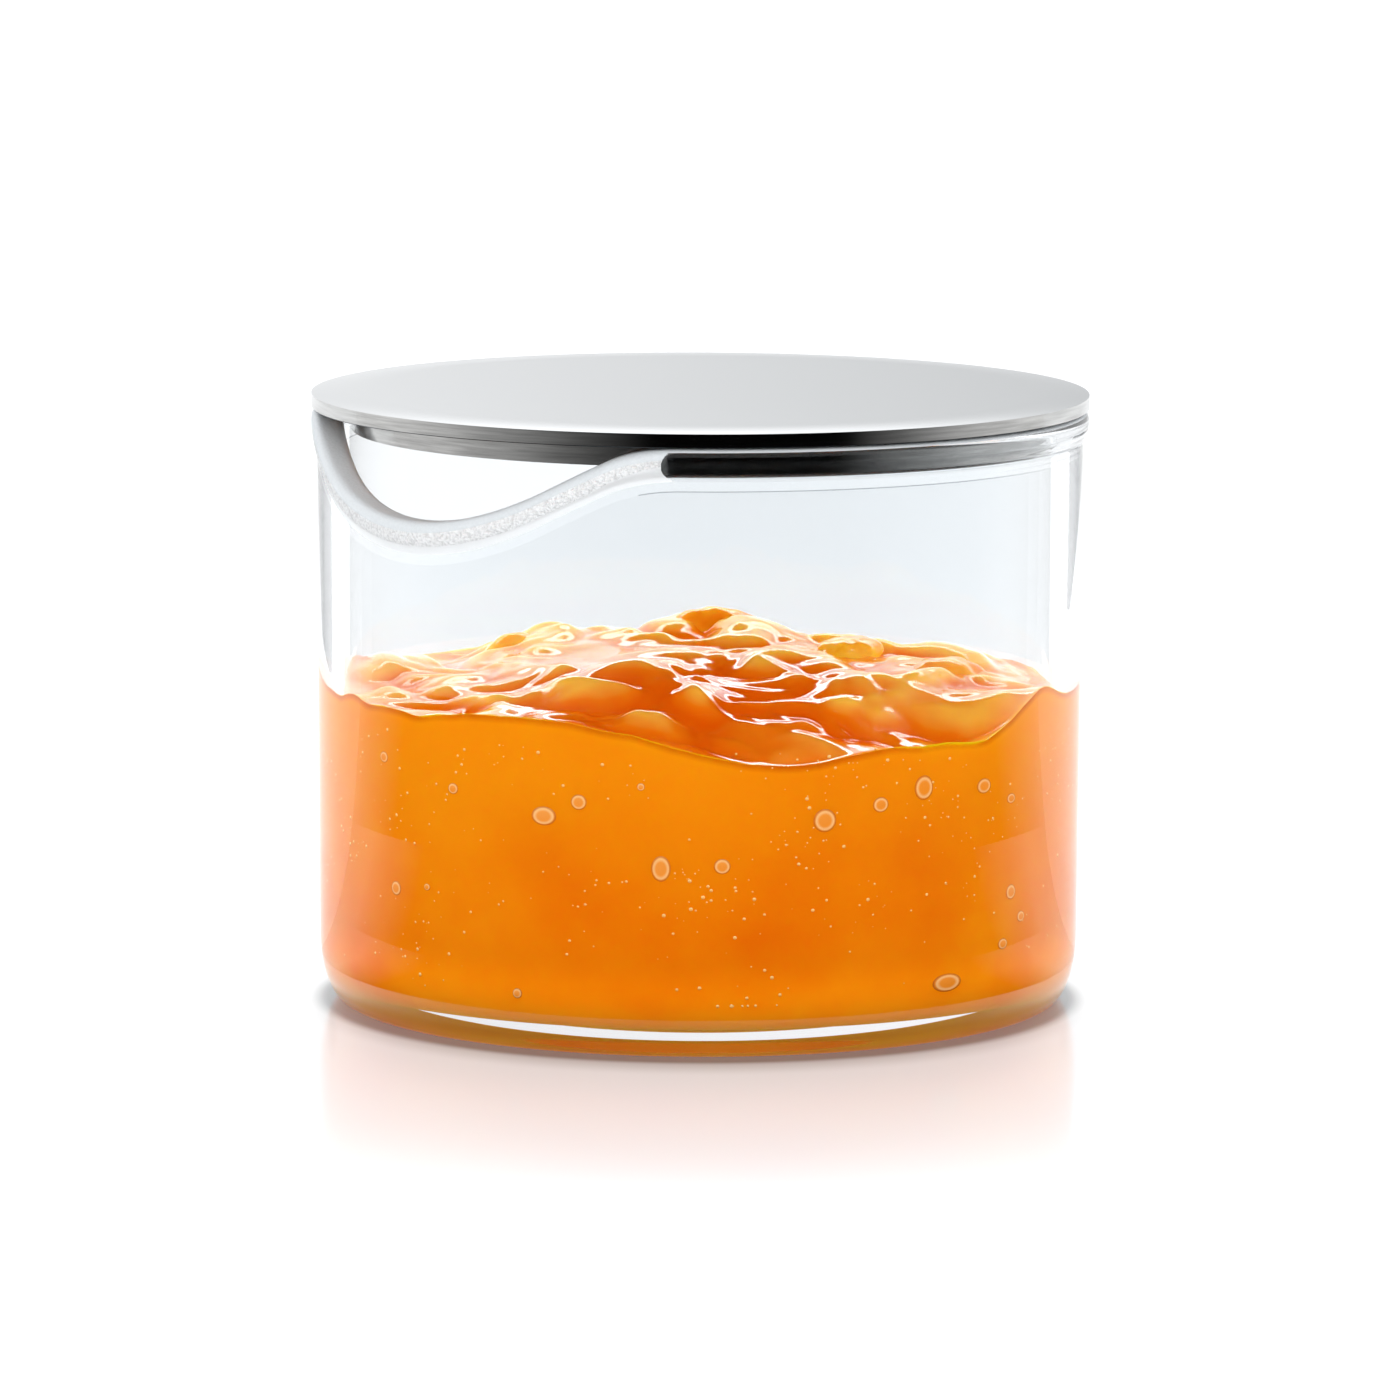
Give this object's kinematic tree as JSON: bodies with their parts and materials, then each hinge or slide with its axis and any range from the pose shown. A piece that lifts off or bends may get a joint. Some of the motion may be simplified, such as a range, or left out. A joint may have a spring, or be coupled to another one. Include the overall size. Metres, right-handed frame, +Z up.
{
  "type": "jam pot",
  "caption": "Low clear glass jam pot with a wide spoon scoop in its beaded rim, a flat two-step steel lid that lifts off, and lumpy apricot jam inside.",
  "frame": {"origin": "centre of the foot ring, on the surface that the pot stands on", "axes": "+Z up along the pot's axis, -Y towards the middle of the scoop in the rim"},
  "size_m": [0.09, 0.09, 0.071],
  "materials": {
    "clear_glass": "clear, with the scoop's edge ground satin",
    "apricot_jam": "wet, translucent, with small bubbles",
    "apricot_fruit": "wet, soft, slightly darker than the jam",
    "matt_steel": "matt, fine even grain",
    "turned_steel": "turned, fine grain round the edge"
  },
  "bodies": {
    "pot": {"glass_pot": "clear_glass", "jam": "apricot_jam", "apricot_pieces": "apricot_fruit"},
    "lid": {"lid_plate": "matt_steel", "lid_locating_disc": "turned_steel"}
  },
  "joints": [
    {"name": "lid_lift", "type": "slide", "parent": "pot", "child": "lid", "axis": [0, 0, 1], "range_m": [0, 0.06]}
  ]
}
